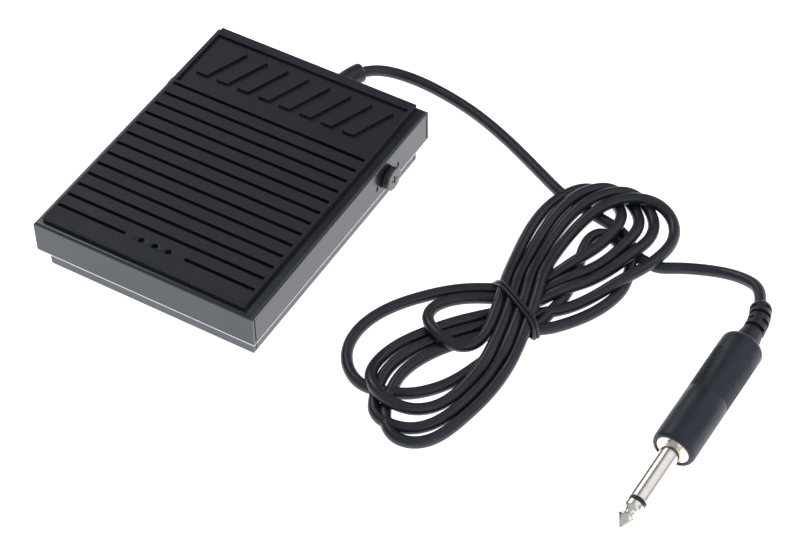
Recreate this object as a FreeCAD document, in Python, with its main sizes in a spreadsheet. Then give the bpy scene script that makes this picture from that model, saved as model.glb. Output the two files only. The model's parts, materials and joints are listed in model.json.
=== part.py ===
import FreeCAD, Part
import Sketcher
import math
import os
import re

# Momentary foot pedal with a hinged sheet-metal treadle, its switch and its lead.
# Frame: origin on the floor under the middle of the treadle, +X to the right when the
# treadle's front edge faces you, +Y towards the hinge, +Z up. Millimetres.

SIZES = (
    ("cover_width", 81.0, "treadle across its side skirts"),
    ("cover_depth", 104.0, "treadle front to rear"),
    ("cover_top", 21.8, "top face of the treadle sheet above the floor"),
    ("skirt_height", 12.2, "folded skirt of the treadle"),
    ("cover_sheet", 1.0, "thickness of the treadle sheet"),
    ("cover_bend", 1.1, "outside bend radius of the treadle"),
    ("seam_gap", 0.5, "open slit where two skirts meet"),
    ("base_width", 76.2, "tray across its side walls"),
    ("base_front", 49.2, "tray front wall, ahead of the origin"),
    ("base_rear", 48.0, "tray rear wall, behind the origin"),
    ("base_sheet", 1.2, "thickness of the tray sheet"),
    ("base_bend", 1.6, "outside bend radius of the tray"),
    ("wall_top", 14.6, "top of the tray walls"),
    ("ear_top", 18.8, "top of the two pivot ears"),
    ("ear_half", 8.0, "half the length of a pivot ear"),
    ("sole_thick", 1.2, "rubber sole under the tray"),
    ("sole_inset", 2.4, "sole edge inside the tray edge"),
    ("pivot_y", 26.4, "hinge line behind the origin"),
    ("pivot_z", 14.0, "hinge line above the floor"),
    ("bush_bore", 2.55, "bore radius of a pivot bush"),
    ("bush_radius", 3.2, "barrel radius of a pivot bush"),
    ("bush_proud", 0.2, "bush barrel outside the skirt"),
    ("plate_half", 3.9, "half height of the bush's plate inside the skirt"),
    ("plate_reach", 7.3, "half length of the bush's plate"),
    ("plate_thick", 1.0, "bush's plate"),
    ("tab_offset", 6.4, "bush tab from the hinge line"),
    ("tab_wide", 1.0, "bush tab along the pedal"),
    ("tab_tall", 1.9, "bush tab height"),
    ("tab_thick", 0.4, "bush tab in its slot in the skirt"),
    ("shoulder_radius", 2.5, "plain shoulder of a pivot screw"),
    ("spacer_radius", 3.8, "spacer under the screw head"),
    ("spacer_gap", 0.1, "spacer clear of the bush"),
    ("head_low", 0.9, "underside of the screw head, outside the skirt"),
    ("screw_head", 4.0, "head radius of a pivot screw"),
    ("head_height", 1.7, "head height of a pivot screw"),
    ("cross_wide", 0.7, "arm width of the cross recess"),
    ("cross_long", 3.6, "arm length of the cross recess"),
    ("cross_deep", 0.9, "depth of the cross recess"),
    ("thread_radius", 1.5, "threaded end of a pivot screw"),
    ("nut_radius", 3.1, "clinch nut"),
    ("nut_thick", 2.4, "clinch nut"),
    ("mat_width", 74.8, "tread pad"),
    ("mat_front", 49.8, "front edge of the tread pad, ahead of the origin"),
    ("mat_rear", 51.2, "rear edge of the tread pad, behind the origin"),
    ("mat_thick", 1.8, "tread pad"),
    ("mat_shift", 0.8, "tread pad left of the middle"),
    ("groove_first", 20.75, "rearmost groove behind the origin"),
    ("groove_pitch", 5.3, "groove spacing"),
    ("groove_wide", 1.3, "groove"),
    ("groove_deep", 1.2, "groove"),
    ("groove_half", 36.4, "half the length of a groove"),
    ("groove_gap", 11.0, "half the break in the front groove"),
    ("panel_front", 22.4, "front edge of the plain panel"),
    ("panel_rear", 47.6, "rear edge of the plain panel"),
    ("panel_deep", 0.9, "recess of the plain panel"),
    ("bar_wide", 4.2, "raised slanted bar"),
    ("bar_front", 29.0, "front end of the bars"),
    ("bar_rear", 44.0, "rear end of the bars"),
    ("bar_lean", 6.0, "lean of a bar over its length"),
    ("bar_pitch", 8.0, "spacing of the bars"),
    ("dot_radius", 1.1, "engraved dot"),
    ("dot_pitch", 5.0, "spacing of the dots"),
    ("spring_y", 24.0, "return spring ahead of the origin"),
    ("spring_radius", 6.0, "mean radius of the return spring"),
    ("wire_radius", 0.6, "spring wire"),
    ("spring_turns", 6.0, "turns of the return spring"),
    ("cup_floor", 1.2, "floor of the spring cup"),
    ("cup_radius", 8.2, "spring cup"),
    ("cup_height", 3.6, "spring cup"),
    ("boss_radius", 4.6, "boss inside the spring, top and bottom"),
    ("stud_height", 3.0, "stud under the treadle"),
    ("stop_x", 26.0, "stops either side of the middle"),
    ("stop_front", 40.0, "down stops ahead of the origin"),
    ("stop_rear", 42.0, "up stops behind the origin"),
    ("stop_radius", 4.5, "rubber stop"),
    ("down_top", 16.1, "top of the down stops"),
    ("up_top", 20.6, "top of the up stops"),
    ("switch_x", 14.0, "switch to the right of the middle"),
    ("switch_y", 2.0, "switch ahead of the origin"),
    ("switch_side", 12.0, "switch body, square"),
    ("switch_low", 6.0, "underside of the switch body"),
    ("switch_high", 13.0, "top of the switch body"),
    ("plunger_radius", 2.0, "switch plunger"),
    ("plunger_top", 15.7, "top of the plunger at rest"),
    ("plunger_foot", 9.0, "lower end of the plunger at rest"),
    ("plunger_room", 0.08, "running clearance of the plunger"),
    ("striker_radius", 2.4, "striker under the treadle"),
    ("striker_low", 16.0, "lower end of the striker"),
    ("blade_wide", 2.0, "switch terminal"),
    ("blade_thick", 0.6, "switch terminal"),
    ("blade_long", 4.0, "switch terminal"),
    ("blade_x", 3.2, "terminals either side of the switch centre"),
    ("blade_z", 8.4, "terminals above the floor"),
    ("bracket_sheet", 1.2, "switch bracket"),
    ("bracket_half", 8.0, "half width of the bracket's table"),
    ("foot_long", 7.0, "foot of the bracket"),
    ("bracket_depth", 14.0, "bracket along the pedal"),
    ("rivet_radius", 1.25, "rivet shank"),
    ("rivet_head", 2.3, "rivet head"),
    ("rivet_tall", 1.1, "rivet head"),
    ("cable_radius", 1.9, "jacket of the lead"),
    ("cable_z", 6.0, "where the lead passes the rear wall"),
    ("cable_end", 24.0, "end of the jacket inside the tray"),
    ("core_radius", 0.55, "insulated core"),
    ("core_side", 0.9, "cores either side of the middle of the jacket"),
    ("relief_radius", 3.4, "strain relief"),
    ("relief_neck", 2.7, "strain relief in the wall"),
    ("relief_collar", 3.5, "strain relief collar inside the wall"),
    ("relief_straight", 59.8, "end of the relief's straight stretch"),
    ("relief_bend", 23.9, "bend radius of the relief"),
    ("relief_turn", 30.0, "bend of the relief, degrees"),
    ("clip_y", 33.0, "cable clip behind the origin"),
    ("clip_wide", 5.0, "cable clip"),
    ("clip_radius", 3.6, "outside of the cable clip"),
    ("clip_foot", 10.4, "reach of the clip's foot"),
    ("clip_thick", 1.0, "clip's foot"),
    ("clip_screw_x", 7.2, "screw of the clip"),
    ("clip_screw", 1.4, "shank of the clip's screw"),
    ("clip_head", 2.6, "head of the clip's screw"),
    ("plug_x", 166.9, "shoulder of the plug"),
    ("plug_y", -22.6, "shoulder of the plug"),
    ("plug_z", 6.8, "shoulder of the plug"),
    ("plug_yaw", 1.6, "plug axis turned from +Y, degrees"),
    ("plug_rise", 4.0, "plug axis raised towards its cord, degrees"),
    ("plug_length", 31.6, "plug, shoulder to tip"),
    ("plug_radius", 3.175, "plug contacts"),
    ("plug_neck", 1.8, "neck behind the tip"),
    ("insulator_at", 9.3, "insulator ring from the tip"),
    ("insulator_wide", 1.0, "insulator ring"),
    ("rod_radius", 1.2, "core rod of the plug"),
    ("tube_radius", 2.4, "insulating tube of the plug"),
    ("socket_radius", 2.9, "sleeve where it is set in the flange"),
    ("nest_room", 0.05, "between nested pieces"),
    ("collar_radius", 5.4, "metal flange of the plug"),
    ("collar_long", 2.2, "metal flange of the plug"),
    ("handle_radius", 6.9, "moulded handle"),
    ("handle_end", 45.1, "rear of the handle from the shoulder"),
    ("handle_round", 2.4, "rounded rear of the handle"),
    ("handle_lip", 0.4, "front of the handle ahead of the flange"),
    ("boot_wide", 4.4, "boot where it meets the handle"),
    ("boot_radius", 3.0, "boot where the lead enters"),
    ("boot_straight", 5.5, "straight stretch of the boot"),
    ("boot_bend", 19.0, "bend radius of the boot"),
    ("boot_turn", 33.0, "bend of the boot, degrees"),
    ("hank_height", 9.0, "hank above the floor"),
    ("tie_x", 98.0, "waist of the hank"),
    ("tie_y", 6.0, "waist of the hank"),
    ("tie_turn", -29.0, "direction of the tie, degrees"),
    ("tie_long", 26.0, "tie across the hank"),
    ("tie_wide", 2.4, "tie along the hank"),
    ("tie_thick", 0.8, "tie"),
)

GROOVES = 13
BARS = 8
DOTS = 3
SIDES = {"left": -1, "right": 1}

# Lead from the strain relief to the hank, lying on the floor after its first bend.
LEAD_ROUTE = (
    (3.2, 71.75, 6.0),
    (7.6, 77.4, 4.2),
    (15.8, 80.7, 2.2),
    (27.0, 80.3, 1.95),
    (42.0, 77.4, 1.95),
    (57.0, 72.0, 1.95),
    (71.5, 65.2, 1.95),
    (85.8, 58.0, 1.95),
)

# Lead from the hank up into the plug's boot.
TAIL_ROUTE = (
    (128.4, 44.0, 1.95),
    (135.0, 48.0, 1.95),
    (142.3, 50.8, 2.3),
    (149.8, 51.5, 3.9),
    (156.8, 49.9, 6.1),
    (162.0, 46.6, 8.0),
)

# Corners of the hank's outline, which its rounded outline passes just inside.
HANK_OUTLINE = (
    (86.5, 14.0),
    (82.0, 33.0),
    (83.0, 56.0),
    (95.0, 71.5),
    (117.0, 74.0),
    (130.0, 61.0),
    (129.0, 38.0),
    (124.5, 15.0),
    (109.5, -2.0),
    (111.5, -30.0),
    (108.5, -52.0),
    (93.0, -63.0),
    (73.0, -51.0),
    (56.0, -34.0),
    (55.5, -14.0),
    (69.0, 1.0),
)

# Cores from the end of the jacket to the terminals, as steps towards each terminal.
CORE_STEPS = ((0.0, 0.0), (0.15, 0.3), (0.6, 0.62), (1.0, 0.8), (1.0, 1.0))

RUN_SHARE = 0.45

# The spring's wire is wound in this many arcs a turn, with play above and below.
SPRING_ARCS = 8
SPRING_GAP = 0.05
SPRING_TOP_GAP = 0.25

doc = FreeCAD.newDocument("foot_pedal")
sheet = doc.addObject("Spreadsheet::Sheet", "sizes")
for row, (alias, number, note) in enumerate(SIZES, 1):
    sheet.set("A%d" % row, alias)
    sheet.set("B%d" % row, str(number))
    sheet.set("C%d" % row, note)
    sheet.setAlias("B%d" % row, alias)
doc.recompute()

parts = []


def linked(text):
    """An expression in plain sheet names, with the sheet's name put before each."""
    return re.sub(r"[a-z][a-z_]*", lambda found: "sizes." + found.group(0), text)


def size(text):
    """The number that an expression in sheet names gives now."""
    return float(sheet.evalExpression(linked(text)))


def bind(thing, prop, text):
    """Tie one property to the sheet."""
    thing.setExpression(prop, linked(text))


def place(thing, x="0", y="0", z="0"):
    """Bind where a sub-part stands."""
    for axis, text in zip("xyz", (x, y, z)):
        bind(thing, "Placement.Base." + axis, text)


def new_body(name):
    body = doc.addObject("PartDesign::Body", name)
    body.Label = name
    parts.append(body)
    return body


def keep(thing, name):
    """List a finished object as a sub-part."""
    thing.Label = name
    parts.append(thing)
    return thing


def new_sketch(body, role="XY_Plane", height="0"):
    """A sketch on one of the body's own origin planes, moved along its normal."""
    plane = [feature for feature in body.Origin.OriginFeatures if feature.Role == role][0]
    sketch = body.newObject("Sketcher::SketchObject", body.Name + "_sketch")
    sketch.AttachmentSupport = [(plane, "")]
    sketch.MapMode = "FlatFace"
    bind(sketch, "AttachmentOffset.Base.z", height)
    return sketch


def tie_point(sketch, element, point, x, y):
    """Hold one point of a sketch at sheet distances from the sketch's origin."""
    for kind, text, axis in (("DistanceX", x, -2), ("DistanceY", y, -1)):
        number = size(text)
        if abs(number) < 1e-9:
            sketch.addConstraint(Sketcher.Constraint("PointOnObject", element, point, axis))
            continue
        made = sketch.addConstraint(Sketcher.Constraint(kind, -1, 1, element, point, number))
        bind(sketch, "Constraints[%d]" % made, text)


def add_outline(sketch, corners):
    """A closed outline of straight sides through corners given in sheet names."""
    spots = [FreeCAD.Vector(size(x), size(y), 0) for x, y in corners]
    first = sketch.GeometryCount
    count = len(spots)
    for n in range(count):
        sketch.addGeometry(Part.LineSegment(spots[n], spots[(n + 1) % count]))
    for n in range(count):
        after = first + (n + 1) % count
        sketch.addConstraint(Sketcher.Constraint("Coincident", first + n, 2, after, 1))
    for n, (x, y) in enumerate(corners):
        tie_point(sketch, first + n, 1, x, y)


def add_rectangle(sketch, x_low, y_low, x_high, y_high):
    add_outline(sketch, ((x_low, y_low), (x_high, y_low), (x_high, y_high), (x_low, y_high)))


def add_circle(sketch, x, y, radius):
    spot = FreeCAD.Vector(size(x), size(y), 0)
    made = sketch.addGeometry(Part.Circle(spot, FreeCAD.Vector(0, 0, 1), size(radius)))
    tie_point(sketch, made, 3, x, y)
    number = sketch.addConstraint(Sketcher.Constraint("Radius", made, size(radius)))
    bind(sketch, "Constraints[%d]" % number, radius)


def pad(body, sketch, length):
    feature = body.newObject("PartDesign::Pad", body.Name + "_pad")
    feature.Profile = sketch
    bind(feature, "Length", length)
    doc.recompute()
    return feature


def pocket(body, sketch, length=None, backwards=False, both_ways=False):
    """Cut a sketch into the body and make sure that it did cut."""
    before = body.Shape.Volume
    feature = body.newObject("PartDesign::Pocket", body.Name + "_pocket")
    feature.Profile = sketch
    feature.Reversed = backwards
    if length is None:
        feature.Type = "ThroughAll"
        feature.Midplane = both_ways
    else:
        bind(feature, "Length", length)
    doc.recompute()
    assert body.Shape.Volume < before - 1e-3, body.Name + " pocket cut nothing"
    return feature


def revolve(body, corners):
    """A turned piece: radius and height pairs about the body's own Z axis."""
    sketch = new_sketch(body, "XZ_Plane")
    add_outline(sketch, corners)
    feature = body.newObject("PartDesign::Revolution", body.Name + "_turned")
    feature.Profile = sketch
    feature.ReferenceAxis = (sketch, ["V_Axis"])
    feature.Angle = 360
    doc.recompute()
    return feature


def round_edges(body, radius, chosen):
    """Round each edge of the body's last feature that the test picks."""
    base = body.Tip
    names = ["Edge%d" % n for n, edge in enumerate(base.Shape.Edges, 1) if chosen(edge)]
    feature = body.newObject("PartDesign::Fillet", body.Name + "_round")
    feature.Base = (base, names)
    bind(feature, "Radius", radius)
    doc.recompute()
    return feature


def flat_at(edge, height):
    """True for an edge that lies level at a height."""
    box = edge.BoundBox
    return abs(box.ZMin - height) < 1e-4 and abs(box.ZMax - height) < 1e-4


def upright(edge):
    """True for a vertical edge."""
    box = edge.BoundBox
    return box.XLength < 1e-4 and box.YLength < 1e-4


# ---------------------------------------------------------------- treadle, the moving part

def make_pedal_cover():
    """Folded sheet: a top with four skirts that meet at open corner seams."""
    body = new_body("pedal_cover")
    bottom = "cover_top - skirt_height"
    half, deep = "cover_width / 2", "cover_depth / 2"
    outer = new_sketch(body, height=bottom)
    add_rectangle(outer, "-" + half, "-" + deep, half, deep)
    pad(body, outer, "skirt_height")
    round_edges(body, "cover_bend", lambda edge: flat_at(edge, size("cover_top")))
    inner = new_sketch(body, height=bottom)
    add_rectangle(inner, "cover_sheet - " + half, "cover_sheet - " + deep,
                  half + " - cover_sheet", deep + " - cover_sheet")
    pocket(body, inner, "skirt_height - cover_sheet", backwards=True)
    inner_top = size("cover_top - cover_sheet")
    round_edges(body, "cover_bend - cover_sheet", lambda edge: flat_at(edge, inner_top))
    sides = new_sketch(body, "YZ_Plane")
    seam = deep + " - cover_sheet"
    seam_top = "cover_top - cover_bend"
    add_rectangle(sides, "-(%s)" % seam, bottom + " - 1", "seam_gap - (%s)" % seam, seam_top)
    add_rectangle(sides, seam + " - seam_gap", bottom + " - 1", seam, seam_top)
    add_circle(sides, "pivot_y", "pivot_z", "bush_radius")
    for side in ("-", "+"):
        middle = "pivot_y %s tab_offset" % side
        add_rectangle(sides, middle + " - tab_wide / 2", "pivot_z - tab_tall / 2",
                      middle + " + tab_wide / 2", "pivot_z + tab_tall / 2")
    pocket(body, sides, both_ways=True)


def make_tread_pad():
    """Rubber pad with cross grooves, a recessed rear panel, raised bars and three dots."""
    body = new_body("tread_pad")
    top = "cover_top + mat_thick"
    outer = new_sketch(body, height="cover_top")
    add_rectangle(outer, "-mat_width / 2", "-mat_front", "mat_width / 2", "mat_rear")
    pad(body, outer, "mat_thick")
    round_edges(body, "mat_thick / 4", lambda edge: flat_at(edge, size(top)))
    grooves = new_sketch(body, height=top)
    for n in range(GROOVES - 1):
        middle = "groove_first - %d * groove_pitch" % n
        add_rectangle(grooves, "-groove_half", middle + " - groove_wide / 2",
                      "groove_half", middle + " + groove_wide / 2")
    middle = "groove_first - %d * groove_pitch" % (GROOVES - 1)
    for low, high in (("-groove_half", "-groove_gap"), ("groove_gap", "groove_half")):
        add_rectangle(grooves, low, middle + " - groove_wide / 2", high, middle + " + groove_wide / 2")
    for n in range(DOTS):
        add_circle(grooves, "%d * dot_pitch" % (n - 1), middle, "dot_radius")
    pocket(body, grooves, "groove_deep")
    panel = new_sketch(body, height=top)
    add_rectangle(panel, "-groove_half", "panel_front", "groove_half", "panel_rear")
    pocket(body, panel, "panel_deep")
    bars = new_sketch(body, height=top + " - panel_deep")
    for n in range(BARS):
        foot = "%s * bar_pitch - bar_lean / 2 - bar_wide / 2" % (n - (BARS - 1) / 2)
        add_outline(bars, ((foot, "bar_front"), (foot + " + bar_wide", "bar_front"),
                           (foot + " + bar_wide + bar_lean", "bar_rear"), (foot + " + bar_lean", "bar_rear")))
    pad(body, bars, "panel_deep")
    place(body, "-mat_shift")


def face_outwards(body, side, across):
    """Lay a piece along the hinge line, its local Z pointing out of the pedal's side."""
    turn = FreeCAD.Rotation(FreeCAD.Vector(0, 1, 0), 90 * side)
    body.Placement = FreeCAD.Placement(FreeCAD.Vector(0, 0, 0), turn)
    place(body, "%d * (%s)" % (side, across), "pivot_y", "pivot_z")


def make_pivot_bush(name, side):
    """Plastic bush in the skirt: a barrel on a plate with two locating tabs."""
    body = new_body("pivot_bush_" + name)
    inner = "-(cover_sheet + plate_thick)"
    plate = new_sketch(body, height=inner)
    add_rectangle(plate, "-plate_half", "-plate_reach", "plate_half", "plate_reach")
    add_circle(plate, "0", "0", "bush_bore")
    pad(body, plate, "plate_thick")
    barrel = new_sketch(body, height="-cover_sheet")
    add_circle(barrel, "0", "0", "bush_radius - nest_room")
    add_circle(barrel, "0", "0", "bush_bore")
    pad(body, barrel, "cover_sheet + bush_proud")
    tabs = new_sketch(body, height="-cover_sheet")
    for sign in ("-", ""):
        middle = sign + "tab_offset"
        add_rectangle(tabs, "nest_room - tab_tall / 2", middle + " - tab_wide / 2 + nest_room",
                      "tab_tall / 2 - nest_room", middle + " + tab_wide / 2 - nest_room")
    pad(body, tabs, "tab_thick")
    face_outwards(body, side, "cover_width / 2")


def make_pivot_spacer(name, side):
    """Black spacer ring on the screw's shoulder, under its head."""
    body = new_body("pivot_spacer_" + name)
    low, inner = "bush_proud + spacer_gap", "shoulder_radius + nest_room"
    revolve(body, ((inner, low), ("spacer_radius", low), ("spacer_radius", "head_low"), (inner, "head_low")))
    face_outwards(body, side, "cover_width / 2")


def make_pivot_screw(name, side):
    """Shoulder screw: cross-recessed head, plain shoulder in the bush, threaded end."""
    body = new_body("pivot_screw_" + name)
    wall = "(base_width - cover_width) / 2"
    end, top = wall + " - base_sheet - nut_thick", "head_low + head_height"
    revolve(body, (("0", end), ("thread_radius", end), ("thread_radius", wall), ("shoulder_radius", wall),
                   ("shoulder_radius", "head_low"), ("screw_head", "head_low"), ("screw_head", top),
                   ("0", top)))
    round_edges(body, "head_height / 4", lambda edge: flat_at(edge, size(top)))
    cross = new_sketch(body, height=top)
    long, wide = "cross_long / 2", "cross_wide / 2"
    quarter = ((long, "-" + wide), (long, wide), (wide, wide))
    corners = list(quarter)
    for _ in range(3):
        quarter = tuple((negative(y), x) for x, y in quarter)
        corners += quarter
    add_outline(cross, corners)
    pocket(body, cross, "cross_deep")
    face_outwards(body, side, "cover_width / 2")


def negative(text):
    """The opposite of a simple expression."""
    return text[1:] if text.startswith("-") else "-" + text


def make_pivot_nut(name, side):
    """Clinch nut inside the tray ear."""
    body = new_body("pivot_nut_" + name)
    revolve(body, (("thread_radius + nest_room", "-nut_thick"), ("nut_radius", "-nut_thick"),
                   ("nut_radius", "0"), ("thread_radius + nest_room", "0")))
    face_outwards(body, side, "base_width / 2 - base_sheet")


def make_spring_stud():
    """Stud riveted under the treadle, inside the top of the spring."""
    body = new_body("spring_stud")
    under = "cover_top - cover_sheet"
    revolve(body, (("0", "0"), ("boss_radius - 1", "0"), ("boss_radius", "1"),
                   ("boss_radius", "stud_height"), ("0", "stud_height")))
    place(body, "0", "-spring_y", under + " - stud_height")


def make_switch_striker():
    """Round-ended striker under the treadle, over the plunger."""
    body = new_body("switch_striker")
    under = "cover_top - cover_sheet"
    tall = under + " - striker_low"
    revolve(body, (("0", "0"), ("striker_radius / 2", "0"), ("striker_radius", "1"),
                   ("striker_radius", tall), ("0", tall)))
    place(body, "switch_x", "-switch_y", "striker_low")


# ---------------------------------------------------------------- tray and what it carries

def make_base_tray():
    """Folded tray with pivot ears, corner seams, and holes for the lead and rivets."""
    body = new_body("base_tray")
    half = "base_width / 2"
    outer = new_sketch(body, height="sole_thick")
    add_rectangle(outer, "-" + half, "-base_front", half, "base_rear")
    pad(body, outer, "wall_top - sole_thick")
    round_edges(body, "base_bend", lambda edge: flat_at(edge, size("sole_thick")))
    floor = "sole_thick + base_sheet"
    inner = new_sketch(body, height=floor)
    add_rectangle(inner, "base_sheet - " + half, "base_sheet - base_front",
                  half + " - base_sheet", "base_rear - base_sheet")
    pocket(body, inner, "wall_top - sole_thick - base_sheet + 1", backwards=True)
    ears = new_sketch(body, height="wall_top - 1")
    for low, high in (("-" + half, "base_sheet - " + half), (half + " - base_sheet", half)):
        add_rectangle(ears, low, "pivot_y - ear_half", high, "pivot_y + ear_half")
    pad(body, ears, "ear_top - wall_top + 1")
    ear_top = size("ear_top")
    round_edges(body, "ear_top - wall_top - 0.4", lambda edge: ear_corner(edge, ear_top))
    sides = new_sketch(body, "YZ_Plane")
    seam_low = "sole_thick + base_bend"
    add_circle(sides, "pivot_y", "pivot_z", "thread_radius + nest_room")
    front_seam = "base_sheet - base_front"
    rear_seam = "base_rear - base_sheet"
    add_rectangle(sides, front_seam, seam_low, front_seam + " + seam_gap", "wall_top + 1")
    add_rectangle(sides, rear_seam + " - seam_gap", seam_low, rear_seam, "wall_top + 1")
    pocket(body, sides, both_ways=True)
    rear = new_sketch(body, "XZ_Plane")
    add_circle(rear, "0", "cable_z", "relief_neck + nest_room")
    pocket(body, rear, backwards=False)
    holes = new_sketch(body, height="sole_thick")
    for x, y, radius in floor_holes():
        add_circle(holes, x, y, radius + " + nest_room")
    pocket(body, holes, "base_sheet", backwards=True)


def ear_corner(edge, top):
    """True for a short edge across the sheet at the top corner of an ear."""
    box = edge.BoundBox
    return flat_at(edge, top) and box.YLength < 1e-4


def floor_holes():
    """Centre and radius of each fastener through the tray floor."""
    reach = "(bracket_half + foot_long / 2)"
    return (("switch_x - " + reach, "-switch_y", "rivet_radius"),
            ("switch_x + " + reach, "-switch_y", "rivet_radius"),
            ("clip_screw_x", "clip_y", "clip_screw"))


def make_rubber_sole():
    """Non-slip sheet under the tray."""
    body = new_body("rubber_sole")
    half = "base_width / 2 - sole_inset"
    flat = new_sketch(body)
    add_rectangle(flat, "-(%s)" % half, "sole_inset - base_front", half, "base_rear - sole_inset")
    pad(body, flat, "sole_thick")
    round_edges(body, "sole_inset", upright)


def make_spring_cup():
    """Plastic seat for the foot of the spring."""
    body = new_body("spring_cup")
    revolve(body, (("0", "0"), ("cup_radius", "0"), ("cup_radius", "cup_height"),
                   ("spring_radius + wire_radius + 0.3", "cup_height"),
                   ("spring_radius + wire_radius + 0.3", "cup_floor"),
                   ("boss_radius", "cup_floor"), ("boss_radius", "cup_height"), ("0", "cup_height")))
    place(body, "0", "-spring_y", "sole_thick + base_sheet")


def make_return_spring():
    """Compression spring between the cup and the treadle: one wire bent round in short arcs."""
    low = size("sole_thick") + size("base_sheet") + size("cup_floor") + size("wire_radius") + SPRING_GAP
    high = size("cover_top") - size("cover_sheet") - size("wire_radius") - SPRING_TOP_GAP
    steps = int(size("spring_turns")) * SPRING_ARCS
    spots = []
    for n in range(steps + 1):
        angle = 2 * math.pi * n / SPRING_ARCS
        across = size("spring_radius") * math.cos(angle)
        along = size("spring_radius") * math.sin(angle) - size("spring_y")
        spots.append((across, along, low + (high - low) * n / steps))
    add_shape("return_spring", make_tube("return_spring", spots, size("wire_radius")))


def make_stop(name, x, y, top):
    """Rubber stop standing on the tray floor."""
    body = new_body(name)
    tall = top + " - sole_thick - base_sheet"
    revolve(body, (("0", "0"), ("stop_radius", "0"), ("stop_radius", tall + " - 0.8"),
                   ("stop_radius - 0.8", tall), ("0", tall)))
    place(body, x, y, "sole_thick + base_sheet")


def make_stops():
    """Down stops at the front and up stops behind the hinge, one each side."""
    for name, side in SIDES.items():
        across = "%d * stop_x" % side
        make_stop("down_stop_" + name, across, "-stop_front", "down_top")
        make_stop("up_stop_" + name, across, "stop_rear", "up_top")


def make_switch_bracket():
    """Bent strip: a table for the switch on two legs with riveted feet."""
    body = new_body("switch_bracket")
    profile = new_sketch(body, "XZ_Plane", "-bracket_depth / 2")
    table, reach = "bracket_half", "bracket_half + foot_long"
    floor = "sole_thick + base_sheet"
    foot = floor + " + bracket_sheet"
    under, over = "switch_low - bracket_sheet", "switch_low"
    inside = "bracket_half - bracket_sheet"
    right = ((reach, floor), (reach, foot), (table, foot), (table, over))
    left = tuple(("-(%s)" % x, z) for x, z in reversed(right))
    add_outline(profile, right + left + (("-(%s)" % inside, floor), ("-(%s)" % inside, under),
                                         (inside, under), (inside, floor)))
    pad(body, profile, "bracket_depth")
    holes = new_sketch(body, height=floor)
    for side in ("-", ""):
        add_circle(holes, side + "(bracket_half + foot_long / 2)", "0", "rivet_radius + nest_room")
    pocket(body, holes, "bracket_sheet", backwards=True)
    place(body, "switch_x", "-switch_y", "0")


def make_bracket_rivets():
    """Two rivets through the bracket's feet and the tray floor."""
    rivets = []
    for side in (-1, 1):
        shank = doc.addObject("Part::Cylinder", "rivet_shank")
        bind(shank, "Radius", "rivet_radius")
        bind(shank, "Height", "base_sheet + bracket_sheet")
        head = doc.addObject("Part::Cone", "rivet_head")
        bind(head, "Radius1", "rivet_head")
        bind(head, "Radius2", "rivet_head - rivet_tall / 2")
        bind(head, "Height", "rivet_tall")
        across = "switch_x + %d * (bracket_half + foot_long / 2)" % side
        place(shank, across, "-switch_y", "sole_thick")
        place(head, across, "-switch_y", "sole_thick + base_sheet + bracket_sheet")
        rivet = doc.addObject("Part::Fuse", "rivet")
        rivet.Base = shank
        rivet.Tool = head
        rivets.append(rivet)
    pair = doc.addObject("Part::Compound", "bracket_rivets")
    pair.Links = rivets
    keep(pair, "bracket_rivets")


def make_switch_body():
    """Moulded switch body with a bore for the plunger."""
    body = new_body("switch_body")
    half = "switch_side / 2"
    block = new_sketch(body)
    add_rectangle(block, "-" + half, "-" + half, half, half)
    pad(body, block, "switch_high - switch_low")
    round_edges(body, "switch_side / 15", upright)
    bore = new_sketch(body, height="switch_high - switch_low")
    add_circle(bore, "0", "0", "plunger_radius + plunger_room")
    pocket(body, bore, "switch_high - plunger_foot + 2.4")
    place(body, "switch_x", "-switch_y", "switch_low")


def make_switch_plunger():
    """Round plunger that the striker pushes down."""
    body = new_body("switch_plunger")
    tall = "plunger_top - plunger_foot"
    revolve(body, (("0", "0"), ("plunger_radius", "0"), ("plunger_radius", tall + " - 0.6"),
                   ("plunger_radius - 0.6", tall), ("0", tall)))
    place(body, "switch_x", "-switch_y", "plunger_foot")


def make_switch_terminals():
    """Two solder blades behind the switch body."""
    blades = []
    for side in (-1, 1):
        blade = doc.addObject("Part::Box", "blade")
        bind(blade, "Length", "blade_wide")
        bind(blade, "Width", "blade_long")
        bind(blade, "Height", "blade_thick")
        place(blade, "switch_x + %d * blade_x - blade_wide / 2" % side,
              "switch_side / 2 - switch_y", "blade_z - blade_thick / 2")
        blades.append(blade)
    pair = doc.addObject("Part::Compound", "switch_terminals")
    pair.Links = blades
    keep(pair, "switch_terminals")


def make_cable_clip():
    """Clip round the jacket with a foot on the tray floor."""
    body = new_body("cable_clip")
    loop = new_sketch(body, "XZ_Plane", "-clip_wide / 2")
    add_circle(loop, "0", "cable_z", "clip_radius")
    add_circle(loop, "0", "cable_z", "cable_radius + nest_room")
    pad(body, loop, "clip_wide")
    foot = new_sketch(body, "XZ_Plane", "-clip_wide / 2")
    floor = "sole_thick + base_sheet"
    add_rectangle(foot, "1", floor, "clip_foot", floor + " + clip_thick")
    pad(body, foot, "clip_wide")
    hole = new_sketch(body, height=floor)
    add_circle(hole, "clip_screw_x", "0", "clip_screw + nest_room")
    pocket(body, hole, "clip_thick + 1", backwards=True)
    place(body, "0", "clip_y", "0")


def make_clip_screw():
    """Pan-head screw through the clip's foot."""
    body = new_body("clip_screw")
    under = "base_sheet + clip_thick"
    revolve(body, (("0", "0"), ("clip_screw", "0"), ("clip_screw", under), ("clip_head", under),
                   ("clip_head", under + " + 1"), ("clip_head - 0.6", under + " + 1.6"),
                   ("0", under + " + 1.6")))
    place(body, "clip_screw_x", "clip_y", "sole_thick")


# ---------------------------------------------------------------- lead, hank and plug

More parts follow.
